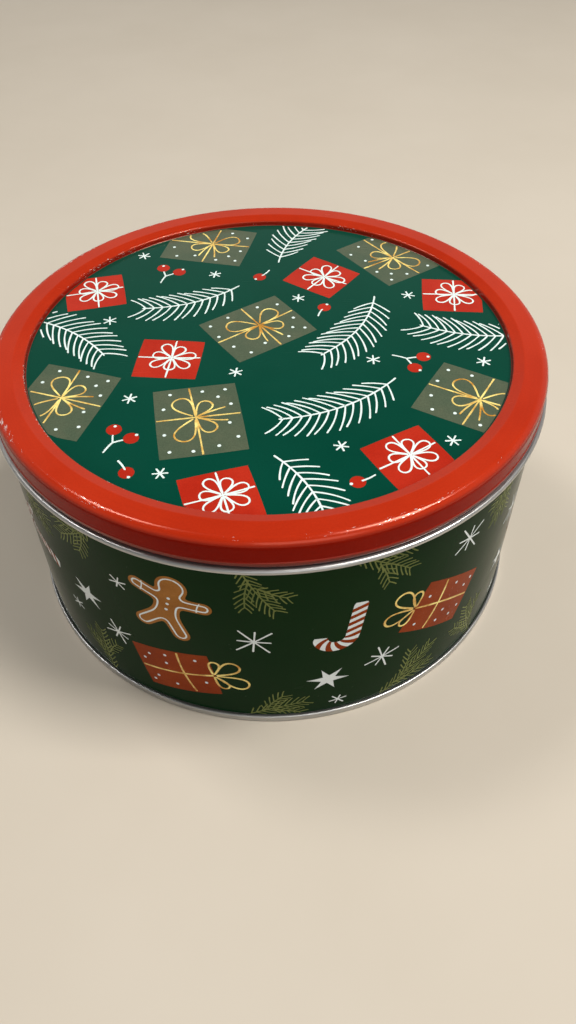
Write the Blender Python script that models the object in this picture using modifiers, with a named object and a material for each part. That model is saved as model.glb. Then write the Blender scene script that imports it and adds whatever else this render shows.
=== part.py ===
"""Round slip-lid cookie tin in tinplate. Blender 4.5, metres, +Z up, standing on z = 0.

The tin is three pressed pieces, each one bent sheet of the same thickness:
  body_wall  a rolled cylinder with a curled mouth, a drawn-in neck, a stop bead and a bottom hook
  base       a recessed disc whose edge is folded round the wall's hook, as a double seam
  lid        a recessed panel, a raised rim, a skirt and a hem that is curled inwards

Each piece is a path in the (radius, height) plane, on the sheet's outer face, walked so that the
sheet lies on its right-hand side. A Screw turns the path round the axis, and a Solidify gives it
the sheet's thickness.
"""

import math

import bpy

# Sheet
SHEET = 0.00025              # thickness of the tinplate
FACETS = 54                  # flats round each piece: even, with one centred on -Y and one on +Y

# Overall
TIN_HEIGHT = 0.1             # floor to the crown of the lid's rim
WALL_RADIUS = 0.0989         # outer face of the straight wall

# Mouth, neck and stop bead of the body wall
NECK_STEP = 0.0017           # how far the neck is drawn in from the straight wall
MOUTH_CURL = 0.0026          # outer diameter of the curl round the mouth
BEAD_RADIUS = 0.00095        # rounding of the stop bead, on its outer face
BEAD_FLAT = 0.0008           # flat underside of the bead
BEAD_FILLET = 0.0005         # where the bead runs into the neck and into the wall

# Lid
HEM_CURL = 0.0024            # outer diameter of the inward curl of the hem
LID_PLAY = 0.0004            # between the hem and the neck, all round
SKIRT_HEIGHT = 0.0109        # crown to the bottom of the hem
RIM_ROUNDING = 0.003         # from the crown into the skirt
CROWN_WIDTH = 0.0058         # flat top of the rim
SLOPE_WIDTH = 0.0037         # gentle inner slope of the rim
SLOPE_DROP = 0.0006
STEP_WIDTH = 0.0003          # steep step from the slope down to the panel
STEP_DROP = 0.0025
STEP_FILLET = 0.0005
SEAT_GAP = 0.0003            # between the lid and the mouth curl that it sits on
STOP_GAP = 0.0003            # between the hem and the stop bead

# Double seam and base
SEAM_HEIGHT = 0.003
SEAM_PLAY = 0.00015          # between the layers of the seam
FOOT_ROUNDING = 0.0006       # edges of the ring that the tin stands on
BASE_RECESS = 0.0032         # underside of the base's outer panel above the floor
BASE_FILLET = 0.0008
BASE_STEP_INSET = 0.0095     # from the recess's wall to the pressed ring step
BASE_STEP_WIDTH = 0.001
BASE_STEP_RISE = 0.0008

# Lock seam down the inside of the wall, at the back
FOLD_WIDTH = 0.004
FOLD_THICKNESS = 0.0005      # how far the folded strip stands in from the wall
FOLD_CLEARANCE = 0.0006      # to the base below it and to the bead above it

# A curl is rolled this far round, so that its end stays clear of the sheet it left
CURL_SWEEP = math.radians(280)
CURL_FLATS = 6

# Fits that follow from the sizes above
neck_radius = WALL_RADIUS - NECK_STEP
lid_radius = neck_radius + LID_PLAY + HEM_CURL
mouth_top = TIN_HEIGHT - SHEET - SEAT_GAP
hem_bottom = TIN_HEIGHT - SKIRT_HEIGHT
bead_top = hem_bottom - STOP_GAP
bead_bottom = bead_top - 2 * BEAD_RADIUS
seam_pocket = SHEET + 2 * SEAM_PLAY                 # room that each hook leaves for the other
wall_hook_z = SHEET + SEAM_PLAY + SHEET + seam_pocket / 2
base_hook_z = SEAM_HEIGHT - SHEET - seam_pocket / 2
recess_radius = WALL_RADIUS - 2 * SHEET - SEAM_PLAY
panel_drop = SLOPE_DROP + STEP_DROP


def rounded_path(corners):
    """The path through (radius, height) corners. A corner may add its fillet radius and number of flats."""
    points = []
    for index, (r, z, *fillet) in enumerate(corners):
        if not fillet:
            points.append((r, z))
            continue
        size, flats = fillet
        before = math.atan2(z - corners[index - 1][1], r - corners[index - 1][0])
        after = math.atan2(corners[index + 1][1] - z, corners[index + 1][0] - r)
        turn = math.remainder(after - before, math.tau)
        setback = size * math.tan(abs(turn) / 2)
        side = math.copysign(size, turn)
        centre_r = r - setback * math.cos(before) - side * math.sin(before)
        centre_z = z - setback * math.sin(before) + side * math.cos(before)
        for flat in range(flats + 1):
            heading = before + turn * flat / flats
            point = (centre_r + side * math.sin(heading), centre_z - side * math.cos(heading))
            if not points or math.dist(point, points[-1]) > SHEET / 10:
                points.append(point)
    return points


def arc(centre_r, centre_z, radius, start, end, flats):
    """Points on an arc in the (radius, height) plane. Angles run from the outward direction up."""
    angles = [start + (end - start) * flat / flats for flat in range(flats + 1)]
    return [(centre_r + radius * math.cos(a), centre_z + radius * math.sin(a)) for a in angles]


def tin_material(name, colour, metallic, roughness):
    material = bpy.data.materials.new(name)
    material.use_nodes = True
    shader = material.node_tree.nodes["Principled BSDF"]
    shader.inputs["Base Color"].default_value = (*colour, 1)
    shader.inputs["Metallic"].default_value = metallic
    shader.inputs["Roughness"].default_value = roughness
    material.diffuse_color = (*colour, 1)
    return material


def turned_sheet(name, path, material, collection):
    """A sheet of even thickness, turned from a path that runs down its outer face."""
    mesh = bpy.data.meshes.new(name)
    edges = [(index, index + 1) for index in range(len(path) - 1)]
    mesh.from_pydata([(r, 0, z) for r, z in path], edges, [])
    mesh.materials.append(material)
    piece = bpy.data.objects.new(name, mesh)
    collection.objects.link(piece)

    turn = piece.modifiers.new("turn", "SCREW")
    turn.axis = "Z"
    turn.angle = math.tau
    turn.steps = turn.render_steps = FACETS
    turn.use_merge_vertices = True
    turn.merge_threshold = 0.00001
    turn.use_smooth_shade = True

    sheet = piece.modifiers.new("sheet", "SOLIDIFY")
    sheet.thickness = SHEET
    sheet.offset = -1
    sheet.use_even_offset = True
    return piece


def body_wall_path():
    """From the free end of the mouth curl, over the mouth, down the neck and wall, to the hook's end."""
    curl_radius = MOUTH_CURL / 2
    mouth_curl = arc(neck_radius - curl_radius, mouth_top - curl_radius, curl_radius, CURL_SWEEP, 0, CURL_FLATS)
    bead_edge = WALL_RADIUS + BEAD_FILLET + BEAD_FLAT + BEAD_RADIUS
    hook_radius = WALL_RADIUS + seam_pocket
    hook_floor = wall_hook_z - seam_pocket / 2
    down = rounded_path([
        mouth_curl[-1],
        (neck_radius, bead_top, BEAD_FILLET, 1),
        (bead_edge, bead_top, BEAD_RADIUS, 2),
        (bead_edge, bead_bottom, BEAD_RADIUS, 2),
        (WALL_RADIUS, bead_bottom, BEAD_FILLET, 1),
        (WALL_RADIUS, hook_floor, seam_pocket / 2, 2),
        (hook_radius, hook_floor, seam_pocket / 2, 2),
        (hook_radius, base_hook_z),
    ])
    return mouth_curl[:-1] + down


def base_path():
    """From the end of the base's hook, over the seam, across the foot ring, up into the recess, to the axis."""
    hook_radius = WALL_RADIUS + SEAM_PLAY
    seam_radius = WALL_RADIUS + 2 * seam_pocket + SHEET - SEAM_PLAY
    hook_bend = seam_pocket / 2 + SHEET
    step_radius = recess_radius - BASE_STEP_INSET
    return rounded_path([
        (hook_radius, wall_hook_z),
        (hook_radius, SEAM_HEIGHT, hook_bend, 2),
        (seam_radius, SEAM_HEIGHT, hook_bend, 2),
        (seam_radius, 0, FOOT_ROUNDING, 2),
        (recess_radius, 0, FOOT_ROUNDING, 2),
        (recess_radius, BASE_RECESS, BASE_FILLET, 2),
        (step_radius, BASE_RECESS),
        (step_radius - BASE_STEP_WIDTH, BASE_RECESS + BASE_STEP_RISE),
        (0, BASE_RECESS + BASE_STEP_RISE),
    ])


def lid_path():
    """From the middle of the panel, over the rim, down the skirt, round the hem's curl. Zero is the crown."""
    crown_edge = lid_radius - RIM_ROUNDING
    slope_edge = crown_edge - CROWN_WIDTH
    step_edge = slope_edge - SLOPE_WIDTH
    curl_radius = HEM_CURL / 2
    curl_z = -SKIRT_HEIGHT + curl_radius
    top = rounded_path([
        (0, -panel_drop),
        (step_edge - STEP_WIDTH, -panel_drop, STEP_FILLET, 1),
        (step_edge, -SLOPE_DROP, STEP_FILLET, 1),
        (slope_edge, 0),
        (lid_radius, 0, RIM_ROUNDING, 3),
        (lid_radius, curl_z),
    ])
    return top + arc(lid_radius - curl_radius, curl_z, curl_radius, 0, -CURL_SWEEP, CURL_FLATS)[1:]


def add_lock_seam(wall, helpers):
    """Joins the folded strip of the wall's side seam to its inner face, at the middle of the +Y flat."""
    flat = math.cos(math.pi / FACETS)
    strip_outside = (WALL_RADIUS - SHEET / 2) * flat
    strip_inside = (WALL_RADIUS - SHEET) * flat - FOLD_THICKNESS
    strip_bottom = BASE_RECESS + SHEET + FOLD_CLEARANCE
    strip_top = bead_bottom - BEAD_FILLET - FOLD_CLEARANCE
    bpy.ops.mesh.primitive_cube_add(size=1, location=(
        0, (strip_outside + strip_inside) / 2, (strip_bottom + strip_top) / 2))
    strip = bpy.context.object
    strip.name = "lock_seam_fold"
    strip.scale = (FOLD_WIDTH, strip_outside - strip_inside, strip_top - strip_bottom)
    strip.hide_render = True
    strip.display_type = "WIRE"
    bpy.context.collection.objects.unlink(strip)
    helpers.objects.link(strip)
    join = wall.modifiers.new("lock seam", "BOOLEAN")
    join.operation = "UNION"
    join.solver = "EXACT"
    join.object = strip


def build():
    for startup_object in list(bpy.data.objects):
        bpy.data.objects.remove(startup_object)
    tin = bpy.data.collections.new("christmas_cookie_tin")
    helpers = bpy.data.collections.new("helpers")
    bpy.context.scene.collection.children.link(tin)
    bpy.context.scene.collection.children.link(helpers)

    green_print = tin_material("dark_green_print", (0.008, 0.055, 0.04), 0, 0.22)
    bare_tin = tin_material("bare_tinplate", (0.62, 0.62, 0.6), 1, 0.25)
    red_enamel = tin_material("red_enamel", (0.55, 0.02, 0.012), 0, 0.2)

    wall = turned_sheet("body_wall", body_wall_path(), green_print, tin)
    add_lock_seam(wall, helpers)
    turned_sheet("base", base_path(), bare_tin, tin)
    lid = turned_sheet("lid", lid_path(), red_enamel, tin)
    lid.location.z = TIN_HEIGHT


build()
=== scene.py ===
import math
import bpy
import numpy as np
from mathutils import Matrix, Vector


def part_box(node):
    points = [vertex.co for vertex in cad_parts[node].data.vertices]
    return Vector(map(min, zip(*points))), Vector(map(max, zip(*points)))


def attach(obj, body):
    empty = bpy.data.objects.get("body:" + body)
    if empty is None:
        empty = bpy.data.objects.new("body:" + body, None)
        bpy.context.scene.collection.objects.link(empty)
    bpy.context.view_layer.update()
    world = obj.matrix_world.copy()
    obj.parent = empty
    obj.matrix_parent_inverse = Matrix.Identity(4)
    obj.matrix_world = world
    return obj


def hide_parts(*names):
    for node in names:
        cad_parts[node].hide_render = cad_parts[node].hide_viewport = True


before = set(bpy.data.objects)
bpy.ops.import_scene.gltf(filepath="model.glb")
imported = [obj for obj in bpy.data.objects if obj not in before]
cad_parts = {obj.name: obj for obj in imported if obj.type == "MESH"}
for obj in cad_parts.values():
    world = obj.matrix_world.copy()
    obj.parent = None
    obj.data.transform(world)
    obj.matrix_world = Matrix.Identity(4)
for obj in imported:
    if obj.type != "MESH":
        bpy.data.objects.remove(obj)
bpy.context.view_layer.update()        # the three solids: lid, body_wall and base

mm = 0.001

# Sizes of the pressed sheets in millimetres, as the solids have them
tin = {
    "sheet": 0.25, "height": 100.0, "wallRadius": 98.9, "seatGap": 0.3,
    "neckStep": 1.7, "mouthCurl": 2.6, "beadRadius": 0.95, "beadFlat": 0.8, "beadFillet": 0.5, "stopGap": 0.3,
    "hemCurl": 2.4, "lidPlay": 0.4, "skirtHeight": 10.9, "rimRounding": 3.0, "crownWidth": 5.8,
    "slopeWidth": 3.7, "slopeDrop": 0.6, "stepWidth": 0.3, "stepDrop": 2.5, "stepFillet": 0.5,
    "seamHeight": 3.0, "seamPlay": 0.15, "footRounding": 0.6, "baseRecess": 3.2, "baseFillet": 0.8,
    "baseStepInset": 9.5, "baseStepWidth": 1.0, "baseStepRise": 0.8, "curlSweep": math.radians(280),
    "foldWidth": 4.0, "foldThickness": 0.5, "foldClearance": 0.6,
}
neckRadius = tin["wallRadius"] - tin["neckStep"]
lidRadius = neckRadius + tin["lidPlay"] + tin["hemCurl"]
mouthTop = tin["height"] - tin["sheet"] - tin["seatGap"]
hemBottom = tin["height"] - tin["skirtHeight"]
beadTop = hemBottom - tin["stopGap"]
beadBottom = beadTop - 2 * tin["beadRadius"]
panelZ = tin["height"] - tin["slopeDrop"] - tin["stepDrop"]
panelRadius = lidRadius - tin["rimRounding"] - tin["crownWidth"] - tin["slopeWidth"] - tin["stepWidth"]
seamPocket = tin["sheet"] + 2 * tin["seamPlay"]
# The solids have flats all round, and a round piece is kept inside them: their width across flats over
# their width across corners
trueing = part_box("lid")[1].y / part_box("lid")[1].x


# Materials

class Nodes:
    # The nodes of a material or of the world. Values are numbers, (red, green, blue) or other nodes' outputs.

    def __init__(self, owner, shader, coordinates):
        owner.use_nodes = True
        self.owner, self.tree = owner, owner.node_tree
        self.shader = self.tree.nodes[shader]
        self.where = self.add("ShaderNodeTexCoord").outputs[coordinates]

    def put(self, value, socket):
        if isinstance(value, bpy.types.NodeSocket):
            self.tree.links.new(value, socket)
        else:
            socket.default_value = (*value, 1) if socket.type == "RGBA" else value

    def feed(self, name, value):
        # Gives the shader's socket of that name its value
        self.put(value, self.shader.inputs[name])

    def add(self, kind, *inputs, **settings):
        # A node with its settings. Inputs are (socket, value).
        node = self.tree.nodes.new(kind)
        for key, value in settings.items():
            setattr(node, key, value)
        for socket, value in inputs:
            self.put(value, node.inputs[socket])
        return node

    def maths(self, operation, *values):
        return self.add("ShaderNodeMath", *enumerate(values), operation=operation).outputs[0]

    def vector(self, operation, *values):
        return self.add("ShaderNodeVectorMath", *enumerate(values), operation=operation).outputs

    def axis(self, name):
        return self.add("ShaderNodeSeparateXYZ", (0, self.where)).outputs[name]

    def mix(self, share, first, second):
        # Sockets 0, 6, 7 of the Mix node are the factor and its two colours, and output 2 is the colour
        return self.add("ShaderNodeMix", (0, share), (6, first), (7, second), data_type="RGBA").outputs[2]

    def noise(self, cells, detail, roughness, low=0.0, high=1.0, lowest=0.35, highest=0.65, where=None):
        # Noise at that many cells a metre, spread from its usual middle range, lowest..highest, to low..high
        texture = self.add("ShaderNodeTexNoise", ("Vector", where or self.where), ("Scale", cells),
                           ("Detail", detail), ("Roughness", roughness))
        return self.add("ShaderNodeMapRange", ("Value", texture.outputs["Fac"]), ("From Min", lowest),
                        ("From Max", highest), ("To Min", low), ("To Max", high)).outputs[0]

    def fade(self, value, start, end):
        # 0 to 1, softly, as the value goes from start to end
        return self.add("ShaderNodeMapRange", ("Value", value), ("From Min", start), ("From Max", end),
                        interpolation_type="SMOOTHSTEP").outputs[0]

    def bump(self, height, depth):
        # Relief that is depth mm high where the height is 1
        relief = self.add("ShaderNodeBump", ("Height", height), ("Strength", 1.0), ("Distance", depth * mm))
        self.feed("Normal", relief.outputs[0])

    def roundTheTin(self, across, along):
        # Coordinates for streaks that run round the tin: across cells a metre in radius and in height, and
        # along cells a radian in direction. The radius itself is given back too.
        flat = self.vector("MULTIPLY", self.where, (1, 1, 0))[0]
        radius = self.vector("LENGTH", flat)["Value"]
        turned = self.vector("MULTIPLY", self.vector("NORMALIZE", flat)[0], (along, along, 0))[0]
        fine = self.add("ShaderNodeCombineXYZ", ("X", 0.0), ("Y", self.maths("MULTIPLY", radius, across)),
                        ("Z", self.maths("MULTIPLY", self.axis("Z"), across)))
        return self.vector("ADD", turned, fine.outputs[0])[0], radius


def surface(name, preview):
    material = bpy.data.materials.new(name)
    material.diffuse_color = (*preview, 1)
    return Nodes(material, "Principled BSDF", "Object")


# What the lacquer has on all printed faces. A noise here and below is (cells a metre, detail, roughness), then
# the range that it is spread to, and last the range that it is spread from where that isn't the usual one.
gloss = {
    "smudges": (34, 3, 0.6, 0, 0.10), "hairs": (60, 2, 0.5, 0, 0.10, 0.66, 0.74),     # both add roughness
    "hairTurn": 0.6, "hairStretch": (1.0, 34.0, 6.0),
    "flow": (42, 1, 0.4), "ripples": (260, 2, 0.5, 0, 0.16),     # long waves, and short ones on them
    "dents": 0.35,                                               # the share of the dents that come with chips
}


def lacquer(nodes, colour, look, specular, dents=None):
    # A colour under soft smudges and hairlines in the gloss, and a faint uneven flow of the lacquer. It reads
    # the same place on every piece, so a reflection runs on from ink to ink.
    nodes.feed("Base Color", colour)
    nodes.feed("Specular IOR Level", specular)
    nodes.feed("Specular Tint", look.get("glossTint", (1, 1, 1)))
    stretched = nodes.add("ShaderNodeMapping", ("Vector", nodes.where), ("Rotation", (0, 0, gloss["hairTurn"])),
                          ("Scale", gloss["hairStretch"])).outputs[0]
    rough = nodes.maths("ADD", nodes.noise(*gloss["smudges"]), nodes.noise(*gloss["hairs"], where=stretched))
    nodes.feed("Roughness", nodes.maths("ADD", rough, look["roughness"]))
    flow = nodes.maths("ADD", nodes.noise(*gloss["flow"]), nodes.noise(*gloss["ripples"]))
    if dents is not None:
        flow = nodes.maths("ADD", flow, nodes.maths("MULTIPLY", dents, gloss["dents"]))
    nodes.bump(flow, look["waves"])


# The fine grain of the print, and the pale dust on it
inkTexture = {
    "grain": (1900, 2, 0.6), "dust": (420, 4, 0.7), "dustFrom": (0.70, 0.80), "dustColour": (0.55, 0.53, 0.48),
}


def inkMaterial(name, look):
    # A printed colour: two close shades in soft clouds, with grain and thin dust
    nodes = surface(name, look["colour"])
    colour = nodes.mix(nodes.noise(look["cloud"], 3, 0.6), look["colour"], look["second"])
    grain = nodes.noise(*inkTexture["grain"], 1 - look["grain"], 1 + look["grain"])
    dust = nodes.noise(*inkTexture["dust"], 0, look["dust"], *inkTexture["dustFrom"])
    colour = nodes.mix(dust, nodes.vector("MULTIPLY", colour, grain)[0], inkTexture["dustColour"])
    lacquer(nodes, colour, look, look["specular"])
    return nodes.owner


# Linear colours. The cloud is in cells a metre, and the waves are the lacquer's unevenness in mm.
inkLooks = {
    "lidGreen": dict(colour=(0.0006, 0.0480, 0.0290), second=(0.0010, 0.0545, 0.0335), cloud=18, grain=0.05,
                     dust=0.08, specular=0.18, roughness=0.12, waves=0.010, glossTint=(0.5, 1.0, 0.8)),
    # The wall's green is darker and more olive than the lid's: painted shade and a painted brownish reflection
    "wallShadedGreen": dict(colour=(0.0024, 0.0205, 0.0058), second=(0.0046, 0.0230, 0.0060), cloud=16, grain=0.06,
                      dust=0.03, specular=0.03, roughness=0.12, waves=0.008, glossTint=(1.0, 0.9, 0.4)),
    "white": dict(colour=(0.780, 0.915, 0.880), second=(0.720, 0.850, 0.815), cloud=90, grain=0.04,
                  dust=0.0, specular=0.30, roughness=0.16, waves=0.010),
    # The wall's white is a darker, bluer copy of the white: painted shade on the upright wall
    "wallWhite": dict(colour=(0.730, 0.790, 0.800), second=(0.670, 0.730, 0.740), cloud=90, grain=0.05,
                      dust=0.0, specular=0.25, roughness=0.16, waves=0.010),
    "red": dict(colour=(0.410, 0.0190, 0.0068), second=(0.465, 0.0260, 0.0098), cloud=70, grain=0.06,
                dust=0.05, specular=0.20, roughness=0.14, waves=0.010),
    "sage": dict(colour=(0.070, 0.099, 0.060), second=(0.088, 0.110, 0.067), cloud=110, grain=0.10,
                 dust=0.06, specular=0.30, roughness=0.15, waves=0.010),
    "gold": dict(colour=(0.950, 0.800, 0.260), second=(0.520, 0.230, 0.025), cloud=190, grain=0.08,
                 dust=0.0, specular=0.30, roughness=0.16, waves=0.010),
    "brown": dict(colour=(0.290, 0.108, 0.018), second=(0.350, 0.142, 0.028), cloud=120, grain=0.08,
                  dust=0.03, specular=0.05, roughness=0.18, waves=0.012),
    "rust": dict(colour=(0.220, 0.028, 0.002), second=(0.260, 0.038, 0.003), cloud=80, grain=0.08,
                 dust=0.02, specular=0.04, roughness=0.18, waves=0.012),
    "olive": dict(colour=(0.122, 0.150, 0.042), second=(0.175, 0.200, 0.058), cloud=150, grain=0.08,
                  dust=0.0, specular=0.05, roughness=0.18, waves=0.012),
}


enamel = {
    # The top of the rim; the skirt and the roll at the bottom, darker as painted shade and painted dark reflection;
    # and pale chips through to the tin, which also stand for painted glints
    "crown": (0.415, 0.0225, 0.0044), "crownSecond": (0.465, 0.0280, 0.0060),
    "skirt": (0.205, 0.0050, 0.0008), "skirtSecond": (0.245, 0.0075, 0.0012),
    "hem": (0.110, 0.0030, 0.0012), "chipAndGlint": (0.88, 0.84, 0.80), "chipMetallic": 0.35,
    # Where one gives way to the next: two heights in mm, then two radii. The green is the panel's own.
    "crownToShadedSkirt": (99.2, 97.6), "skirtToShadedHem": (91.5, 90.6), "crownToShadedSlope": (91.3, 90.1), "redToGreen": (87.0, 86.9),
    "slopePaintedShade": 0.06,                    # painted shade: the skirt's share in the colour of the slope inside the rim
    "roughness": 0.10, "waves": 0.005, "glossTint": (1.0, 0.55, 0.42), "rimSpecular": 0.50, "skirtSpecular": 0.04,
    "skirtBelow": 98.3,                    # the height where the rounding has turned down into the skirt, mm
    "clouds": (24, 3, 0.6), "grain": (1500, 3, 0.6, 0.96, 1.04),
    "streakCells": (900, 9), "streaks": (1, 2, 0.5, 0.985, 1.015), "chipCells": (2900, 80), "chips": (0.925, 0.955),
    # Rubbed rings where the rim rounds over and in the step: radius and half width in mm, and strength
    "rimWear": (97.75, 0.75, 0.235), "stepWear": (panelRadius + 0.35, 0.25, 0.215),
    "patches": (26, 2, 0.6, -0.09, 0.09),  # wear that comes and goes along a ring
    "knocks": -0.42,                       # more wear towards -X, for each metre
}


def redEnamel(name, specular):
    # Red lacquer: bright on the rim, darker down the skirt and darkest on the hem, as painted shade and painted dark
    # reflection, and a little painted shade on the slope inside the rim. In its rubbed rings it is chipped through
    # to the tin in small pale specks, which are wear and painted glints both.
    nodes = surface(name, enamel["crown"])
    streaks, radius = nodes.roundTheTin(*enamel["streakCells"])
    height = nodes.axis("Z")

    def between(value, ends):
        start, end = enamel[ends]
        return nodes.fade(value, start * mm, end * mm)

    def rubbed(place, halfWidth, strength):
        return nodes.maths("MULTIPLY", nodes.maths("COMPARE", radius, place * trueing * mm, halfWidth * mm), strength)

    clouds = nodes.noise(*enamel["clouds"])
    # Painted shade and painted dark reflection: the crown's red gives way down the side to the darker skirt, then to
    # the hem
    crown, skirt = (nodes.mix(clouds, enamel[part], enamel[part + "Second"]) for part in ("crown", "skirt"))
    colour = nodes.mix(between(height, "crownToShadedSkirt"), crown, skirt)
    colour = nodes.mix(between(height, "skirtToShadedHem"), colour, enamel["hem"])
    # Painted shade on the slope inside the rim: it takes a little of the skirt's dark
    slope = nodes.maths("MULTIPLY", between(radius, "crownToShadedSlope"), enamel["slopePaintedShade"])
    colour = nodes.mix(slope, colour, skirt)
    for grain in (nodes.noise(*enamel["streaks"], where=streaks), nodes.noise(*enamel["grain"])):
        colour = nodes.vector("MULTIPLY", colour, grain)[0]
    colour = nodes.mix(between(radius, "redToGreen"), colour, inkLooks["lidGreen"]["colour"])
    chips = nodes.add("ShaderNodeTexNoise", ("Vector", nodes.roundTheTin(*enamel["chipCells"])[0]), ("Scale", 1.0),
                      ("Detail", 3.0), ("Roughness", 0.6)).outputs["Fac"]
    rings = nodes.maths("ADD", rubbed(*enamel["rimWear"]), rubbed(*enamel["stepWear"]))
    knocks = nodes.maths("MULTIPLY", nodes.axis("X"), enamel["knocks"])
    worn = nodes.maths("ADD", nodes.maths("ADD", rings, knocks),
                       nodes.maths("ADD", chips, nodes.noise(*enamel["patches"])))
    # Chips through to the tin in a pale colour: worn lacquer, and painted glints along the rim as well
    low, high = enamel["chips"]
    chipsAndGlints = nodes.add("ShaderNodeMapRange", ("Value", worn), ("From Min", low), ("From Max", high)).outputs[0]
    nodes.feed("Metallic", nodes.maths("MULTIPLY", chipsAndGlints, enamel["chipMetallic"]))
    lacquer(nodes, nodes.mix(chipsAndGlints, colour, enamel["chipAndGlint"]), enamel, specular, nodes.maths("MULTIPLY", chips, rings))
    return nodes.owner


bare = {
    "colour": (0.52, 0.52, 0.51), "second": (0.43, 0.43, 0.425), "clouds": (38, 4, 0.6),
    "markColour": (0.30, 0.29, 0.28), "marks": (260, 4, 0.7, 0, 0.5, 0.66, 0.80),
    "metallic": 0.88, "roughness": 0.22, "streakRoughness": 0.10, "cloudRoughness": 0.12,
    "streakCells": (2600, 12), "streaks": (1, 3, 0.6), "streakHeight": 0.0015,      # the height in mm
}


def bareTin():
    # Tinplate with no print: fine streaks round the tin, dull clouds, and small dark handling marks
    nodes = surface("bareTin", bare["colour"])
    fine = nodes.noise(*bare["streaks"], where=nodes.roundTheTin(*bare["streakCells"])[0])
    clouds = nodes.noise(*bare["clouds"])
    colour = nodes.mix(clouds, bare["colour"], bare["second"])
    nodes.feed("Base Color", nodes.mix(nodes.noise(*bare["marks"]), colour, bare["markColour"]))
    nodes.feed("Metallic", bare["metallic"])
    rough = nodes.maths("ADD", nodes.maths("MULTIPLY", fine, bare["streakRoughness"]),
                        nodes.maths("MULTIPLY", clouds, bare["cloudRoughness"]))
    nodes.feed("Roughness", nodes.maths("ADD", rough, bare["roughness"]))
    nodes.bump(fine, bare["streakHeight"])
    return nodes.owner


# Meshes

# How finely the sheets are made: degrees, mm, and numbers of points
meshing = {
    "sharpFrom": 40, "flatTurn": 9, "curlFlats": 26, "closest": 0.02, "bendWithin": 0.22, "longestRun": 14.0,
    "angles": 512, "wallAngles": 430,
}


def meshPiece(name, points, quads, materials, faceMaterial=None):
    mesh = bpy.data.meshes.new(name)
    mesh.from_pydata(points, [], quads)
    for material in materials:
        mesh.materials.append(material)
    if faceMaterial is not None:
        mesh.polygons.foreach_set("material_index", np.asarray(faceMaterial, np.int32))
    mesh.shade_smooth()
    mesh.set_sharp_from_angle(angle=math.radians(meshing["sharpFrom"]))
    mesh.update()
    piece = bpy.data.objects.new(name, mesh)
    bpy.context.scene.collection.objects.link(piece)
    return piece


def gridQuads(rows, columns, closedRows=False, closedColumns=False):
    # Corner numbers of the cells of a rows x columns grid of points
    index = np.arange(rows * columns).reshape(rows, columns)
    if closedRows:
        index = np.vstack([index, index[:1]])
    if closedColumns:
        index = np.hstack([index, index[:, :1]])
    return np.stack([index[:-1, :-1], index[1:, :-1], index[1:, 1:], index[:-1, 1:]], -1).reshape(-1, 4)


def roundedPath(corners):
    # Straight runs through (radius, height) corners. A corner with a third number is a round of that
    # radius: its points stand on a circle that touches both runs.
    points = []
    for i, (r, z, *fillet) in enumerate(corners):
        if not fillet:
            points.append((r, z))
            continue
        before = math.atan2(z - corners[i - 1][1], r - corners[i - 1][0])
        after = math.atan2(corners[i + 1][1] - z, corners[i + 1][0] - r)
        turn = math.remainder(after - before, math.tau)
        setback = fillet[0] * math.tan(abs(turn) / 2)
        side = math.copysign(fillet[0], turn)
        centre = np.array([r - setback * math.cos(before) - side * math.sin(before),
                           z - setback * math.sin(before) + side * math.cos(before)])
        flats = math.ceil(abs(turn) / math.radians(meshing["flatTurn"]))
        heading = np.linspace(before, before + turn, 1 + flats)
        arc = centre + side * np.stack([np.sin(heading), -np.cos(heading)], 1)
        points.extend(p for p in arc.tolist() if not points or math.dist(p, points[-1]) > meshing["closest"])
    return np.array(points)


def curlPath(r, z, radius, start, end):
    # Points on a circle about (r, z), from one angle to another
    a = np.linspace(start, end, meshing["curlFlats"] + 1)
    return np.stack([r + radius * np.cos(a), z + radius * np.sin(a)], 1)


def held(path):
    # Long straight runs get a point near each end, so that smooth shading bends only there, and points
    # between. Their places along the run are shares of its length.
    inset = meshing["bendWithin"]
    out = [path[:1]]
    for a, b in zip(path[:-1], path[1:]):
        length = math.dist(a, b)
        shares = [1.0]
        if length > 4 * inset:
            between = np.linspace(inset / length, 1 - inset / length, 2 + int(length / meshing["longestRun"]))
            shares = [*between, 1.0]
        out.append(a + np.array(shares)[:, None] * (b - a))
    return np.vstack(out)


def sheetLoop(path, thickness):
    # The path, then the same path set back to its right by the sheet's thickness and walked backwards.
    # At a bend the set-back point lies on the bisector, thickness / cos(half the turn) away.
    run = np.diff(path, axis=0)
    run /= np.linalg.norm(run, axis=1)[:, None]
    right = np.stack([run[:, 1], -run[:, 0]], 1)
    before = np.vstack([right[:1], right])
    after = np.vstack([right, right[-1:]])
    setback = (before + after) / (1 + (before * after).sum(1))[:, None]
    return np.vstack([path, (path + thickness * setback)[::-1]])


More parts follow.
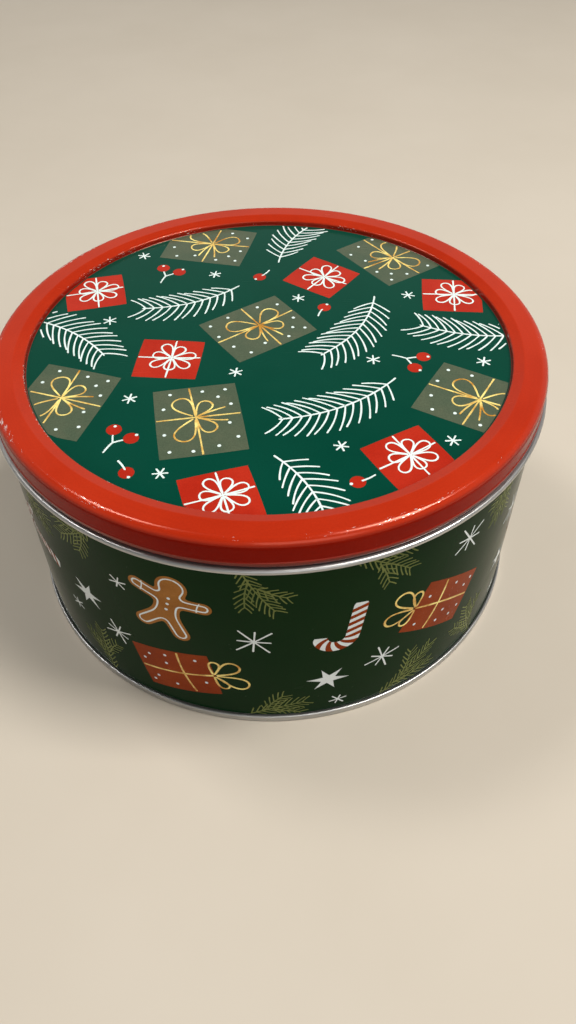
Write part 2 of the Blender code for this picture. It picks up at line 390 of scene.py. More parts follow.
def turnedSheet(name, path, angles, finishes, pressed=None, outerFinish=None):
    # Point (i, j) is loop point i turned by angle j: (r cos a, r sin a, z). The loop runs along the outer
    # face and back along the inner one. Points on the axis are one point, so the pole is closed.
    # pressed(radius, height, angle, onInside) adds to the radius. The outer face has the first finish, or the
    # one whose number outerFinish(radius, height) gives. The inner face has the second, where there is one.
    path = held(path)
    loop = sheetLoop(path, tin["sheet"])
    rows, columns = len(loop), len(angles)
    radius = np.repeat(loop[:, :1], columns, 1)
    if pressed is not None:
        onInside = np.arange(rows)[:, None] >= len(path)
        radius = radius + pressed(loop[:, :1], loop[:, 1:], angles[None, :], onInside)
    radius *= trueing
    height = np.repeat(loop[:, 1:], columns, 1)
    points = np.stack([radius * np.cos(angles), radius * np.sin(angles), height], -1).reshape(-1, 3) * mm
    onAxis = loop[:, 0] < 1e-6
    quads = gridQuads(rows, columns, not onAxis[0], True)
    number = np.arange(rows * columns)
    pole = np.repeat(onAxis, columns)
    number[pole] = number[pole] // columns * columns
    used, number = np.unique(number, return_inverse=True)
    quads = number[quads]
    row = np.arange(len(quads)) // columns
    outer = row < len(path) - 1
    finish = np.where(outer, 0, min(1, len(finishes) - 1))
    if outerFinish is not None:
        finish = np.where(outer, outerFinish(loop[row, 0], loop[row, 1]), finish)
    faces = [tuple(dict.fromkeys(quad)) for quad in quads.tolist()]
    return meshPiece(name, points[used], faces, finishes, finish)


def evenAngles(count):
    return np.linspace(0, math.tau, count, endpoint=False)


# The three pressed sheets

# What they have besides the sizes of the solids, in mm
shell = {
    "hemSwell": 0.22, "hemHeight": 2.55, "hemRound": 0.25,    # the rolled hem stands out from the skirt
    "slopeDrop": 1.1, "slopeRound": 1.4, "stepRound": 0.7,    # the slope inside the rim, steeper than the solid's
    "ringRound": 0.3,                                         # both bends of the ring step in the base
}
hemTop = hemBottom + shell["hemHeight"]
# The wall's side seam, in mm: how wide the edges of its folded strip are, the groove outside, and where
# the wall has finer steps round the tin
seam = {"edge": 0.06, "grooveDepth": 0.09, "grooveWidth": 0.16, "fineWithin": 0.4, "finePoints": 9, "apart": 0.35}


def lidPath():
    crown = lidRadius - tin["rimRounding"]
    slope = crown - tin["crownWidth"]
    step = slope - tin["slopeWidth"]
    curl = tin["hemCurl"] / 2
    curlZ = hemBottom + curl
    skirt = lidRadius - shell["hemSwell"]
    down = roundedPath([
        (0, panelZ), (step - tin["stepWidth"], panelZ, tin["stepFillet"]),
        (step, tin["height"] - shell["slopeDrop"], shell["stepRound"]), (slope, tin["height"], shell["slopeRound"]),
        (skirt, tin["height"], tin["rimRounding"]), (skirt, hemTop, shell["hemRound"]),
        (lidRadius, hemTop - shell["hemRound"], shell["hemRound"]), (lidRadius, curlZ),
    ])
    return np.vstack([down, curlPath(lidRadius - curl, curlZ, curl, 0, -tin["curlSweep"])[1:]])


def foldHeights():
    return (tin["baseRecess"] + tin["sheet"] + tin["foldClearance"],
            beadBottom - tin["beadFillet"] - tin["foldClearance"])


def wallPath():
    wall, curl = tin["wallRadius"], tin["mouthCurl"] / 2
    beadEdge = wall + tin["beadFillet"] + tin["beadFlat"] + tin["beadRadius"]
    hookZ = tin["seamHeight"] - tin["sheet"] - seamPocket / 2
    hookFloor = 2 * tin["sheet"] + tin["seamPlay"]
    low, high = foldHeights()
    mouth = curlPath(neckRadius - curl, mouthTop - curl, curl, tin["curlSweep"], 0)
    down = roundedPath([
        mouth[-1], (neckRadius, beadTop, tin["beadFillet"]), (beadEdge, beadTop, tin["beadRadius"]),
        (beadEdge, beadBottom, tin["beadRadius"]), (wall, beadBottom, tin["beadFillet"]),
        (wall, high), (wall, high - 2 * seam["edge"]), (wall, low + 2 * seam["edge"]), (wall, low),
        (wall, hookFloor, seamPocket / 2), (wall + seamPocket, hookFloor, seamPocket / 2), (wall + seamPocket, hookZ),
    ])
    return np.vstack([mouth[:-1], down])


def lockSeam(radius, height, angle, onInside):
    # The wall's side seam at the back. Inside, the folded strip stands in by its thickness between its
    # two sides and its two ends. Outside, the joint is a fine groove along the strip's left side.
    edge, side = seam["edge"], tin["foldWidth"] / 2
    across = (angle - math.pi / 2) * tin["wallRadius"]
    low, high = foldHeights()
    within = np.clip((side + edge - np.abs(across)) / (2 * edge), 0, 1)
    within = within * ((height > low + edge) & (height < high - edge) & (radius < tin["wallRadius"]))
    strip = within * onInside * tin["foldThickness"]
    groove = np.exp(-((across + side) / seam["grooveWidth"]) ** 2) * seam["grooveDepth"]
    groove = groove * (~onInside) * ((height > low) & (height < high))
    return -strip - groove


def wallAngles():
    # Even steps round the tin, and fine ones at both sides of the folded strip
    side = tin["foldWidth"] / 2
    fine = np.concatenate([np.linspace(-side - seam["fineWithin"], -side + seam["fineWithin"], seam["finePoints"]),
                           [side - seam["edge"], side + seam["edge"]]])
    fine = math.pi / 2 + fine / tin["wallRadius"]
    even = evenAngles(meshing["wallAngles"])
    far = np.abs(even[:, None] - fine[None, :]).min(1) > seam["apart"] / tin["wallRadius"]
    return np.sort(np.concatenate([even[far], fine]))


def basePath():
    recess = tin["wallRadius"] - 2 * tin["sheet"] - tin["seamPlay"]
    hookZ = 2 * tin["sheet"] + tin["seamPlay"] + seamPocket / 2
    bend = seamPocket / 2 + tin["sheet"]
    outer = tin["wallRadius"] + 2 * seamPocket + tin["sheet"] - tin["seamPlay"]
    ring = recess - tin["baseStepInset"]
    inner = tin["baseRecess"] + tin["baseStepRise"]
    hook = tin["wallRadius"] + tin["seamPlay"]
    return roundedPath([
        (hook, hookZ), (hook, tin["seamHeight"], bend), (outer, tin["seamHeight"], bend),
        (outer, 0, tin["footRounding"]), (recess, 0, tin["footRounding"]),
        (recess, tin["baseRecess"], tin["baseFillet"]), (ring, tin["baseRecess"], shell["ringRound"]),
        (ring - tin["baseStepWidth"], inner, shell["ringRound"]), (0, inner),
    ])


def rimOrSkirt(radius, height):
    # The straight skirt is duller than the rim above it and the rolled hem below it. Its finish is number 2.
    outside = radius > lidRadius - tin["rimRounding"]
    return np.where(outside & (height < enamel["skirtBelow"]) & (height > hemTop), 2, 0)


def pressSheets(tinplate):
    red = [redEnamel("redRim", enamel["rimSpecular"]), redEnamel("redSkirt", enamel["skirtSpecular"])]
    even = evenAngles(meshing["angles"])
    lid = turnedSheet("lidShell", lidPath(), even, [red[0], tinplate, red[1]], None, rimOrSkirt)
    wall = turnedSheet("wallShell", wallPath(), wallAngles(), [tinplate], lockSeam)
    base = turnedSheet("baseShell", basePath(), even, [tinplate])
    for piece, node, body, finish in ((lid, "lid", "lid", "red_enamel"), (wall, "body_wall", "tin", "bare_tin"),
                                      (base, "base", "tin", "bare_tin")):
        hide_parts(node)
        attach(piece, body)
    print("pressed sheets:", [len(p.data.polygons) for p in (lid, wall, base)])


# The print: thin films of ink on the lid's panel and on the wall

film = {
    "thickness": 0.012,                                     # mm
    "lift": {"ground": 0.020, "field": 0.045, "line": 0.070, "top": 0.095},
    "crossing": 0.0012, "crossings": 14,                    # each film lies this far over the last, in turns
    "panelEdge": panelRadius - 0.45,                        # where the print on the lid ends
    "wallLow": 3.25, "wallHigh": beadBottom - 0.6,          # where the print on the wall ends
    "seamMargin": 3.6,                                      # bare tin at each side of the wall's side seam
    "panelPoints": 97, "wallPoints": 513,                   # how finely the two green grounds are made
}
wallLength = math.tau * tin["wallRadius"]
sheets = {"lid": {}, "wall": {}}                            # ink -> [(grid of points, lift)]


def onPanel(flat, lift):
    # (across, back) on the lid's panel
    return np.column_stack([flat * trueing, np.full(len(flat), panelZ + lift)]) * mm


def onWall(flat, lift):
    # (round the wall from the front towards +X, height): direction = distance / radius
    a = flat[:, 0] / tin["wallRadius"] - math.pi / 2
    r = tin["wallRadius"] * trueing + lift
    return np.column_stack([r * np.cos(a), r * np.sin(a), flat[:, 1]]) * mm


def inside(host, points):
    # Which points lie on the printed face
    if host == "lid":
        return np.hypot(points[..., 0], points[..., 1]) < film["panelEdge"]
    beside = wallLength / 2 - film["seamMargin"] - np.abs(points[..., 0])
    return np.minimum(beside, np.minimum(points[..., 1] - film["wallLow"], film["wallHigh"] - points[..., 1])) > 0


def lay(host, ink, grid, level):
    # One film: a grid of points in the face's own plane. It is turned to face outwards, and films of one
    # ink that cross lie a few microns over each other.
    a = np.diff(grid, axis=0)[:, :-1]
    b = np.diff(grid, axis=1)[:-1]
    if (a[..., 0] * b[..., 1] - a[..., 1] * b[..., 0]).sum() < 0:
        grid = grid[::-1]
    stack = sheets[host].setdefault(ink, [])
    stack.append((grid, film["lift"][level] + film["crossing"] * (len(stack) % film["crossings"])))


def filmPiece(name, patches, place, material):
    # Each film is closed: its upper side, its underside and the rim between them
    points, quads, start = [], [], 0
    for grid, lift in patches:
        rows, columns = grid.shape[:2]
        count = rows * columns
        flat = grid.reshape(-1, 2)
        points += [place(flat, lift), place(flat, lift - film["thickness"])]
        upper = gridQuads(rows, columns)
        index = np.arange(count).reshape(rows, columns)
        rim = np.concatenate([index[:-1, 0], index[-1, :-1], index[:0:-1, -1], index[0, :0:-1]])
        after = np.roll(rim, -1)
        side = np.stack([rim, rim + count, after + count, after], 1)
        quads += [upper + start, upper[:, ::-1] + count + start, side + start]
        start += 2 * count
    return meshPiece(name, np.vstack(points), np.vstack(quads).tolist(), [material])


def discGrid(count):
    # A square grid drawn out to a unit disc: x = u sqrt(1 - v^2 / 2), y = v sqrt(1 - u^2 / 2)
    u, v = np.meshgrid(*[np.linspace(-1, 1, count)] * 2)
    return np.stack([u * np.sqrt(1 - v * v / 2), v * np.sqrt(1 - u * u / 2)], -1)


def curve(*points, count=12):
    # A Bezier curve of two to four control points
    p = np.array(points, float)
    t = np.linspace(0, 1, count)[:, None]
    n = len(p) - 1
    return sum(math.comb(n, k) * t ** k * (1 - t) ** (n - k) * p[k] for k in range(n + 1))


# A stroke of the pen, in mm and in shares of its half width: where its round ends have points, how far in
# its even points begin and the least distance between them, and how it wavers
stroke = {"ends": (0.03, 0.25, 0.7), "begin": 1.3, "apart": 0.9, "waver": 0.10, "rate": 0.55, "shift": 1.7}
# A four-cornered field: the points that it is worked out on, the points that it keeps each way, three
# times as many rows where the edge of the print cuts it, and the bow of its edges in mm
field = {"worked": 161, "points": 9, "bow": 0.35}


class Pen:
    # Draws on one printed face from a place there: its motif's own millimetres are turned and moved

    def __init__(self, host, at, turn):
        self.host, self.at, self.turn = host, np.array(at, float), math.radians(turn)
        self.wobble = (self.at @ (0.7, 1.3)) + self.turn

    def out(self, points):
        c, s = math.cos(self.turn), math.sin(self.turn)
        return np.asarray(points, float) @ np.array([[c, s], [-s, c]]) + self.at

    def ribbon(self, ink, points, width, level="line"):
        # Points each side of a line at half its width, which closes in a half circle at both ends and
        # wavers a little on the way, as a hand-drawn line does
        line = self.out(points)
        step = np.linalg.norm(np.diff(line, axis=0), axis=1)
        run = np.concatenate([[0], np.cumsum(step)])
        total, half = run[-1], width / 2
        if total < 3 * half:
            return
        ends = half * np.array(stroke["ends"])
        begin = half * stroke["begin"]
        inner = np.linspace(begin, total - begin, max(3, int(total / max(stroke["apart"], width)) + 1))
        at = np.concatenate([ends, inner, total - ends[::-1]])
        line = np.column_stack([np.interp(at, run, line[:, k]) for k in (0, 1)])
        self.wobble += stroke["shift"]
        near = np.clip(np.minimum(at, total - at) / half, stroke["ends"][0], 1)
        waver = 1 + stroke["waver"] * np.sin(at * stroke["rate"] + self.wobble)
        spread = half * np.sqrt(1 - (1 - near) ** 2) * waver
        along = np.gradient(line, axis=0)
        along /= np.linalg.norm(along, axis=1)[:, None]
        across = np.stack([-along[:, 1], along[:, 0]], 1) * spread[:, None]
        grid = np.stack([line + across, line - across], 1)
        kept = inside(self.host, grid).all(1).astype(int)
        edges = np.flatnonzero(np.diff(np.concatenate([[0], kept, [0]])))
        for first, last in zip(edges[::2], edges[1::2]):
            if last - first > 2:
                lay(self.host, ink, grid[first:last], level)

    def disc(self, ink, centre, radius, level="line", count=5):
        grid = self.out(discGrid(count) * radius + centre)
        if inside(self.host, grid).all():
            lay(self.host, ink, grid, level)

    def quad(self, ink, corners):
        # Bilinear between the corners, with slightly bowed edges. Where the field runs over the edge of the
        # print, each of its rows is cut there.
        count, bow = field["points"], field["bow"]
        u, v = np.meshgrid(*[np.linspace(0, 1, field["worked"])] * 2)
        a, b, c, d = (np.array(p, float) for p in corners)
        u, v = u[..., None], v[..., None]
        grid = (1 - v) * ((1 - u) * a + u * b) + v * ((1 - u) * d + u * c)
        bowed = bow * np.sin(math.pi * u) * (v - 0.5) + bow * np.sin(math.pi * v) * (u - 0.5)
        grid = self.out(grid + bowed * (1.0, 0.8))
        kept = inside(self.host, grid)
        rows = np.flatnonzero(kept.sum(1) > 3)
        if len(rows) < 6:
            return
        chosen = np.linspace(0, len(rows) - 1, count * 3 if len(rows) < field["worked"] else count).astype(int)
        out = []
        for row in rows[chosen]:
            on = np.flatnonzero(kept[row])
            out.append(grid[row, np.round(np.linspace(on[0], on[-1], count)).astype(int)])
        lay(self.host, ink, np.array(out), "field")

    def petal(self, ink, length, width, heading, thickness, foot):
        # A loop of ribbon: along = length sin(pi t) ^ 0.9, across = width / 2 sin(2 pi t)
        t = np.linspace(0.02, 0.98, 33)
        a = math.radians(heading)
        along, across = length * np.sin(math.pi * t) ** 0.9, width / 2 * np.sin(math.tau * t)
        self.ribbon(ink, np.stack([along * math.cos(a) - across * math.sin(a),
                                   along * math.sin(a) + across * math.cos(a)], 1) + foot, thickness)


# Motifs. Sizes are in millimetres.

def parcel(pen, wide, tall, wrap, tie, loops, line, dots=()):
    # A wrapped parcel seen flat: a skewed field, a ribbon each way, a bow of loops where they cross, given as
    # (heading, length, width), and dots at these shares of its sides
    w, h = wide / 2, tall / 2
    corners = [(-w, -h * 0.97), (w * 0.96, -h), (w, h * 0.95), (-w * 0.97, h)]
    pen.quad(wrap, corners)
    knot = np.array([wide * 0.04, tall * 0.03])
    pen.ribbon(tie, curve((-w * 0.98, tall * 0.02), knot * 0.6, (w * 0.97, tall * 0.05)), line)
    pen.ribbon(tie, curve((wide * 0.02, -h * 0.97), knot, (wide * 0.05, h * 0.96)), line)
    for heading, length, width in loops:
        pen.petal(tie, length, width, heading, line, knot)
    for x, y in dots:
        pen.disc("white", (wide * x, tall * y), 0.62, "top")


def goldParcel(host, at, turn):
    # Two long loops over two short ones, and two loose ends
    pen = Pen(host, at, turn)
    parcel(pen, 35, 29, "sage", "gold", [(28, 11.5, 6.4), (150, 12.5, 6.6), (-36, 9.0, 5.0), (-146, 9.5, 5.2)], 0.6,
           [(-0.40, 0.38), (-0.16, 0.41), (0.21, 0.38), (0.42, 0.28), (-0.43, 0.12), (0.41, -0.10), (-0.40, -0.17),
            (-0.31, -0.40), (-0.10, -0.34), (0.17, -0.40), (0.40, -0.37), (0.30, -0.27)])
    for x, lean in ((1, 2.2), (-1, -2.6)):
        pen.ribbon("gold", curve((1.4, 0.9), (1.4 + lean, -4), (1.4 + 3.4 * x, -9.6)), 0.6)


def redParcel(host, at, turn):
    # Seven short loops round the knot
    loops = [(k * 360 / 7 + 12, 7.2 if k % 2 else 8.6, 3.9) for k in range(7)]
    parcel(Pen(host, at, turn), 23, 22.5, "red", "white", loops, 0.62)


def frond(host, at, turn, length, spread, ink="white", bow=0.10, gap=2.9, line=0.6, lean=44, curl=10):
    # A fir frond: a stem on a shallow arch, and needles in pairs, a gap apart. A needle u of the way along
    # reaches spread (0.36 + 0.64 sin(pi (0.06 + 0.80 u)) ^ 0.8), as a quadratic curve that bends on towards
    # the tip.
    pen = Pen(host, at, turn)
    t = np.linspace(0, 1, 25)
    stem = np.stack([length * (t - 0.5), bow * length * 4 * t * (1 - t) - bow * length * 0.5], 1)
    pen.ribbon(ink, stem, line * 1.1)
    pairs = int(0.86 * length / gap) + 1
    for k in range(pairs):
        u = 0.10 + 0.87 * k / (pairs - 1)
        foot = np.array([np.interp(u, t, stem[:, 0]), np.interp(u, t, stem[:, 1])])
        slope = math.atan(bow * 4 * (1 - 2 * u))
        reach = spread * (0.36 + 0.64 * math.sin(math.pi * (0.06 + 0.80 * u)) ** 0.8)
        for side in (1, -1):
            a = slope + side * math.radians(lean + 9 * (1 - u) + 3 * math.sin(k * 2.1 + side))
            bend = slope + side * math.radians(lean + curl + 6)
            middle = foot + 0.5 * reach * np.array([math.cos(bend), math.sin(bend)])
            tip = foot + reach * np.array([math.cos(a), math.sin(a)])
            pen.ribbon(ink, curve(foot, middle, tip, count=9), line)


def berries(host, at, turn, count):
    # One round berry or two on a forked stalk, each with a pale glint at its far side
    pen = Pen(host, at, turn)
    if count == 1:
        pen.ribbon("white", curve((0, 0), (2.6, 0.9), (4.6, 2.6)), 0.62)
        pen.disc("red", (-1.2, -0.4), 2.55, "field", 9)
        pen.disc("white", (-3.3, -1.2), 0.55, "top")
        return
    pen.ribbon("white", curve((7.0, 3.6), (4.0, 1.6), (2.2, 1.0)), 0.62)
    for x, y in ((-3.6, 2.6), (-1.0, -4.4)):
        pen.ribbon("white", curve((2.2, 1.0), (x * 0.2 + 1, y * 0.5), (x, y)), 0.62, "ground")
        pen.disc("red", (x, y), 2.6, "field", 9)
        pen.disc("white", (x * 1.45 - 0.6, y * 1.12 - 0.7), 0.55, "top")


def snowStar(host, at, turn, reach, rays=3, line=0.6, short=1.0):
    # Thin strokes that cross in one point, every second one shorter
    pen = Pen(host, at, turn)
    for k in range(rays):
        a = math.pi * k / rays
        r = reach * (short if k % 2 else 1.0)
        pen.ribbon("white", np.outer(np.linspace(-1, 1, 9), (r * math.cos(a), r * math.sin(a))), line)


def rayStar(host, at, turn, reach):
    snowStar(host, at, turn, reach, 4, 0.62, 0.72)


def smallStar(host, at, turn, reach):
    snowStar(host, at, turn, reach, 3, 0.55, 0.8)


def fullStar(host, at, turn, reach):
    # Three long diamonds that cross: half width = waist (1 - |t|) ^ 1.15
    pen, waist = Pen(host, at, turn), 0.25 * reach
    t = np.linspace(-0.985, 0.985, 15)
    for k in range(3):
        a = math.pi * k / 3 + 0.06 * k
        r = reach * (1.0, 0.92, 1.06)[k]
        line = np.outer(t, (r * math.cos(a), r * math.sin(a)))
        across = np.outer(waist * (1 - np.abs(t)) ** 1.15, (-math.sin(a), math.cos(a)))
        lay(host, "white", pen.out(np.stack([line + across, line - across], 1)), "line")


def cane(host, at, turn):
    # A candy cane: a band along a straight run and nearly a half turn, white, with slanted red bars across it
    pen = Pen(host, at, turn)
    straight, hook, half = 17.0, 5.6, 2.55
    total = straight + hook * math.pi * 0.98
    bars, bar, pitch, slant = 9, 1.85, 3.6, 0.5

    def band(along, across):
        bent = np.clip(along - straight, 0, None) / hook
        x = hook - (hook - across) * np.cos(bent)
        y = np.minimum(along, straight) + (hook - across) * np.sin(bent)
        return np.stack([np.where(bent > 0, x, across), y], -1) - (hook * 0.8, 13)

    along, across = np.meshgrid(np.linspace(0, total, 56), np.linspace(-half, half, 5), indexing="ij")
    endRound = 1 - 0.22 * np.clip(1 - np.minimum(along, total - along) / 1.6, 0, 1) ** 2
    lay(host, "white", pen.out(band(along, across * endRound)), "field")
    for k in range(bars):
        start = bar + k * pitch
        along, across = np.meshgrid(np.linspace(start, start + bar, 4), np.linspace(-half, half, 7), indexing="ij")
        lay(host, "rust", pen.out(band(along + across * slant, across)), "line")


# A plain figure cut from dough. Its limbs are x, y to x, y and a radius, and "around" is the right half of a
# wide outline. "icing" and "middle" are how far the icing's line and the inner edge of the rim lie inside.
dough = {
    "limbs": [(0, 10.5, 0, 10.6, 5.4), (0, 6, 0, -4.5, 4.5), (0, 3.0, -11.5, 5.2, 2.9), (0, 3.0, 11.5, 5.2, 2.9),
              (-0.8, -4, -6.8, -13.5, 3.2), (0.8, -4, 6.8, -13.5, 3.2)],
    "around": [(0, 17), (6, 14), (5.6, 8.6), (5.4, 7.4), (13, 9), (15, 5), (13, 2), (5, -0.4), (5.2, -4),
               (10, -13), (8.6, -17), (4, -15.5), (0.6, -7.4)],
    "icing": 1.35, "middle": 1.9, "discInset": 0.3,
    "blend": 1.6, "points": 240, "walks": 30, "pace": 0.6, "probe": 0.01, "gentlest": 0.2,
}


def doughEdge(points):
    # Smoothed distance to the limbs: -log(sum of exp(-blend distance)) / blend
    limbs = np.array(dough["limbs"])
    a, b, r = limbs[:, None, 0:2], limbs[:, None, 2:4], limbs[:, None, 4]
    t = np.clip(((points - a) * (b - a)).sum(-1) / ((b - a) ** 2).sum(-1), 0, 1)
    d = np.linalg.norm(points - a - t[..., None] * (b - a), axis=-1) - r
    return -np.log(np.exp(-d * dough["blend"]).sum(0)) / dough["blend"]


def doughOutline(level):
    # Points walk from the wide outline down the slope of the distance until they stand on its level, and
    # each step brings them a little nearer to the middle between their neighbours
    corners, h = np.array(dough["around"]), dough["probe"]
    ring = np.vstack([corners, corners[::-1] * (-1, 1), corners[:1]])
    run = np.concatenate([[0], np.cumsum(np.linalg.norm(np.diff(ring, axis=0), axis=1))])
    at = np.linspace(0, run[-1], dough["points"], endpoint=False)
    p = np.column_stack([np.interp(at, run, ring[:, k]) for k in (0, 1)])
    for _ in range(dough["walks"]):
        slope = np.stack([(doughEdge(p + e) - doughEdge(p - e)) / (2 * h) for e in ((h, 0), (0, h))], -1)
        steepness = np.maximum((slope ** 2).sum(-1), dough["gentlest"])[:, None]
        p = p - dough["pace"] * (doughEdge(p) - level)[:, None] * slope / steepness
        p = (np.roll(p, 1, 0) + 6 * p + np.roll(p, -1, 0)) / 8
    return np.vstack([p, p[:1]])


def cookieFigure(host, at, turn):
    # Round head, arms and legs held out: a disc drawn out along each limb, and a rim that follows the
    # smoothed outline. Then the line of icing inside the outline, three buttons and the cuffs.
    pen = Pen(host, at, turn)
    for ax, ay, bx, by, r in dough["limbs"]:
        a, b, r = np.array([ax, ay]), np.array([bx, by]), r - dough["discInset"]
        heading = math.atan2(by - ay, bx - ax)
        grid = discGrid(13) * r
        c, s = math.cos(heading), math.sin(heading)
        stretch = (grid[..., :1] / r + 1) / 2
        lay(host, "brown", pen.out(a + stretch * (b - a) + grid @ np.array([[c, s], [-s, c]])), "field")
    lay(host, "brown", pen.out(np.stack([doughOutline(0.0), doughOutline(-dough["middle"])], 1)), "field")
    pen.ribbon("white", doughOutline(-dough["icing"]), 0.62)
    for y in (4.4, 1.2, -2.0):
        pen.disc("white", (0, y), 0.6, "top")
    for side in (-1, 1):
        pen.ribbon("white", curve((side * 9.9, 7.4), (side * 9.2, 5.0), (side * 9.7, 2.4)), 0.5)


def twig(host, at, turn, length, side):
    # A fir twig with two side shoots, their needles short and thin. Each stem: its share of the length, how
    # it leans, its needles' length, and how far along the twig it starts.
    heading = math.radians(turn)
    stems = ((1.0, 0, 6.2, 0.0), (0.56, 33 * side, 5.2, 0.30), (0.46, -36 * side, 5.0, 0.46))
    for share, lean, spread, foot in stems:
        a = heading + math.radians(lean)
        start = np.array(at) + foot * length * np.array([math.cos(heading), math.sin(heading)])
        middle = start + 0.5 * share * length * np.array([math.cos(a), math.sin(a)])
        frond(host, middle, turn + lean, share * length, spread, "olive", bow=0.04 * side, gap=2.15, line=0.46,
              lean=36, curl=4)


def tiedParcel(host, at, turn):
    # A tall parcel on the wall, with a narrow bow on its top edge
    pen, line, knot = Pen(host, at, turn), 0.8, (0.2, 14.2)
    pen.quad("rust", [(-12, -15), (11.5, -14.4), (12, 14), (-11.6, 15)])
    pen.ribbon("gold", curve((0.4, -14.4), (1.2, 0), knot), line)
    pen.ribbon("gold", curve((-11.4, 3.4), (0, 1.6), (11.4, 4.4)), line)
    for heading, length, width in ((58, 13, 6.5), (122, 12, 6.0), (20, 8.5, 3.8), (164, 8.5, 3.8)):
        pen.petal("gold", length, width, heading, line, knot)
    for x, y in ((-7.6, -9), (-4, -3), (-8.2, 9.6), (5.4, -9.6), (8.4, -2.6), (5, 10), (-4.4, -12), (-8.8, -2),
                 (8.2, -12)):
        pen.disc("white", (x, y), 0.6, "top")


# Where the motifs stand. On the lid: (across, back) in mm from its middle. On the wall: (round it from the
# front, height) in mm. Then the turn in degrees, and what else the motif asks for.

lidPrint = {
    goldParcel: [(-4, 10, 34), (51, 58, -56), (-24, 72, -14), (-71, -30, 72), (-24, -42, 99), (69, -36, -31)],
    redParcel: [(22, 44, -37), (-36, -8, -6), (43, -63, 29), (72, 28, -6), (-68, 37, 12), (-16, -78, 16)],
    frond: [(32, 9, 238, 44, 13), (-29, 30, 201, 40, 12), (24, -35, 206, 46, 13), (14, 75, 59, 42, 12.5),
            (-77, 10, 325, 46, 13), (10, -78, 293, 40, 12), (78, 3, 171, 44, 12.5)],
    berries: [(51, -13, 127, 2), (-40, 50, 223, 2), (-50, -50, 213, 2), (21, 21, 218, 1), (-2, 46, 24, 1),
              (-46, -65, 93, 1), (27, -73, 0, 1)],
    snowStar: [(76, -15, 13, 2.8), (55, 29, 43, 2.7), (12, 29, 24, 2.7), (-21, 48, 19, 2.6), (-51, 64, 46, 2.7),
               (-60, 17, 37, 2.8), (-48, -30, 21, 2.7), (-12, -17, 21, 2.6), (-35, -67, 3, 2.6), (22, -57, 47, 2.6),
               (58, -56, 2, 2.7), (37, -12, 28, 2.7)],
}

wallPrint = {
    cookieFigure: [(-153, 45, 187), (-36, 63, -14), (123, 42, 152), (257, 67, -2)],
    cane: [(286, 62, 0), (-99, 57, 76), (21, 53, 172), (170, 48, 117)],
    tiedParcel: [(-233, 46, 259), (-37, 24, 282), (61, 44, 65), (240, 21, -3)],
    fullStar: [(-266, 64, 7, 7.4), (-261, 24, 38, 6.2), (-119, 74, 45, 6.4), (-72, 47, 5, 7.2), (17, 24, 48, 7.4),
               (102, 32, 31, 6.4), (148, 62, 40, 6.6), (216, 46, 40, 7.2)],
    rayStar: [(-170, 17, 9, 7.6), (-263, 46, 15, 7.0), (-171, 75, 49, 7.4), (-134, 62, 43, 7.8), (-60, 34, 22, 6.4),
              (-8, 50, 40, 8.0), (69, 72, 32, 7.6), (37, 29, 16, 7.0), (104, 58, 16, 8.2), (227, 67, 35, 7.4),
              (194, 38, 1, 7.2), (-300, 40, 43, 7.6)],
    smallStar: [(-181, 31, 21, 3.6), (-282, 52, 15, 3.4), (-54, 66, 15, 3.6), (-81, 34, 33, 3.4), (104, 12, 45, 3.4),
                (21, 9, 10, 3.4), (169, 79, 47, 3.6), (116, 66, 9, 3.4)],
    twig: [(282, 2, 74, 28, 1), (-265, 1, 131, 26, -1), (-205, 2, 83, 28, 1), (-140, 1, 75, 32, -1),
           (-68, 1, 96, 26, 1), (-13, 3, 22, 23, 1), (36, 1, 40, 30, -1), (86, 1, 108, 26, 1), (139, 1, 74, 23, -1),
           (172, 1, 82, 28, 1), (212, 1, 110, 26, -1), (-261, 89, 306, 26, 1),
           (-220, 89, 232, 24, -1), (-148, 90, 296, 24, 1), (-103, 89, 303, 26, -1), (-59, 89, 219, 24, 1),
           (-12, 89, 296, 25, -1), (22, 89, 327, 26, 1), (97, 89, 236, 24, -1), (135, 89, 259, 26, 1),
           (189, 89, 313, 26, -1), (239, 89, 226, 24, 1)],
}


def drawMotifs(host, motifs):
    for motif, places in motifs.items():
        for across, up, *rest in places:
            motif(host, (across, up), *rest)


def printInks():
    lay("lid", "lidGreen", discGrid(film["panelPoints"]) * film["panelEdge"], "ground")
    end = wallLength / 2 - film["seamMargin"]
    around = np.linspace(-end, end, film["wallPoints"])
    lay("wall", "wallShadedGreen", np.stack(np.meshgrid(around, (film["wallLow"], film["wallHigh"])), -1), "ground")
    drawMotifs("lid", lidPrint)
    drawMotifs("wall", wallPrint)
    looks = {}
    for host, place, body in (("lid", onPanel, "lid"), ("wall", onWall, "tin")):
        for ink, patches in sheets[host].items():
            name = ink if ink.startswith(host) else host + ink.capitalize()
            look = name if name in inkLooks else ink      # the wall's white is a darker copy: painted shade
            if look not in looks:
                looks[look] = inkMaterial(look + "Ink", inkLooks[look])
            piece = filmPiece(name + "Print", patches, place, looks[look])
            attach(piece, body)
            print("print:", piece.name, len(patches), "films,", len(piece.data.polygons), "faces")


# Floor, light and camera

stageLook = {
    "reach": 3.0, "points": 9, "floor": (0.620, 0.560, 0.470), "floorSecond": (0.595, 0.535, 0.445),
    "clouds": (6, 4, 0.6), "roughness": 0.75, "specular": 0.25,
}


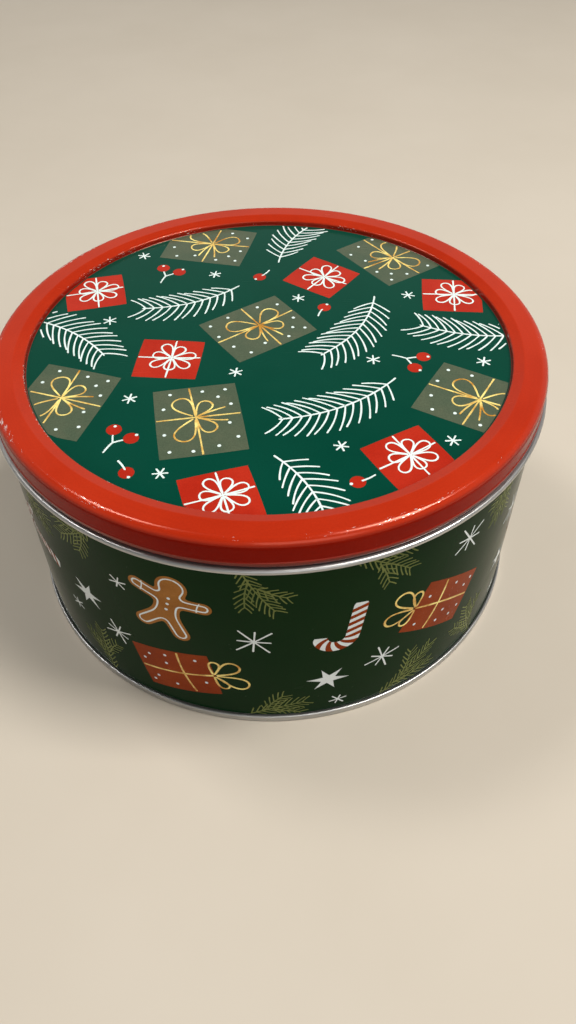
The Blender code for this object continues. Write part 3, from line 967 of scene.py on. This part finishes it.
def paleFloor():
    nodes = surface("paleFloor", stageLook["floor"])
    clouds = nodes.noise(*stageLook["clouds"])
    nodes.feed("Base Color", nodes.mix(clouds, stageLook["floor"], stageLook["floorSecond"]))
    nodes.feed("Roughness", stageLook["roughness"])
    nodes.feed("Specular IOR Level", stageLook["specular"])
    reach, count = stageLook["reach"], stageLook["points"]
    x, y = np.meshgrid(*[np.linspace(-reach, reach, count)] * 2, indexing="ij")
    points = np.stack([x, y, np.zeros_like(x)], -1).reshape(-1, 3)
    meshPiece("floor", points, gridQuads(count, count).tolist(), [nodes.owner])


lamps = {
    # name: (place, aimed at, width, depth, watts, colour), metres
    "rightCeiling": ((0.68, -0.13, 1.42), (0, 0, 0.1), 0.46, 0.58, 20.0, (1.0, 0.965, 0.92)),
    "leftCeiling": ((-0.64, 0.44, 1.46), (0, 0, 0.1), 0.36, 0.36, 7.0, (1.0, 0.97, 0.94)),
    "frontFill": ((0.35, -1.60, 1.25), (0, 0, 0.05), 1.2, 0.9, 7.0, (1.0, 0.985, 0.96)),
}
# The room by the height of a direction: pale walls up to the first height, a dimmer ceiling from the second
room = {"low": (0.40, 0.395, 0.38), "high": (0.09, 0.09, 0.09), "fromHeight": 0.45, "toHeight": 0.72}


def studio():
    for name, (place, aim, width, depth, watts, colour) in lamps.items():
        light = bpy.data.lights.new(name, "AREA")
        light.shape, light.size, light.size_y = "RECTANGLE", width, depth
        light.energy, light.color = watts, colour
        lamp = bpy.data.objects.new(name, light)
        bpy.context.scene.collection.objects.link(lamp)
        lamp.location = place
        away = np.array(place) - np.array(aim)
        side = np.cross((0, 0, 1), away)
        away, side = away / np.linalg.norm(away), side / np.linalg.norm(side)
        lamp.rotation_euler = Matrix(np.stack([side, np.cross(away, side), away], 1).tolist()).to_euler()
    world = bpy.data.worlds.new("room")
    bpy.context.scene.world = world
    nodes = Nodes(world, "Background", "Generated")
    share = nodes.fade(nodes.axis("Z"), room["fromHeight"], room["toHeight"])
    nodes.feed("Color", nodes.mix(share, room["low"], room["high"]))


# Metres, degrees and millimetres of lens
view = {"place": (0.0, -0.24914, 0.27316), "pitch": 47.00, "yaw": 1.40, "roll": -0.80, "lens": 28.73, "sensor": 36,
        "nearest": 0.01}


def setCamera():
    # Forward is pitched down and turned towards +X, then the picture is rolled about it
    p, y, r = (math.radians(view[k]) for k in ("pitch", "yaw", "roll"))
    forward = np.array([math.sin(y) * math.cos(p), math.cos(y) * math.cos(p), -math.sin(p)])
    level = np.array([math.cos(y), -math.sin(y), 0])
    up = np.cross(level, forward)
    right, up = math.cos(r) * level + math.sin(r) * up, -math.sin(r) * level + math.cos(r) * up
    data = bpy.data.cameras.new("camera")
    data.lens, data.sensor_width, data.clip_start = view["lens"], view["sensor"], view["nearest"]
    camera = bpy.data.objects.new("camera", data)
    bpy.context.scene.collection.objects.link(camera)
    camera.location = view["place"]
    camera.rotation_euler = Matrix(np.stack([right, up, -forward], 1).tolist()).to_euler()
    bpy.context.scene.camera = camera


bpy.context.scene.view_settings.view_transform = "Standard"
setCamera()
paleFloor()
studio()
pressSheets(bareTin())
printInks()
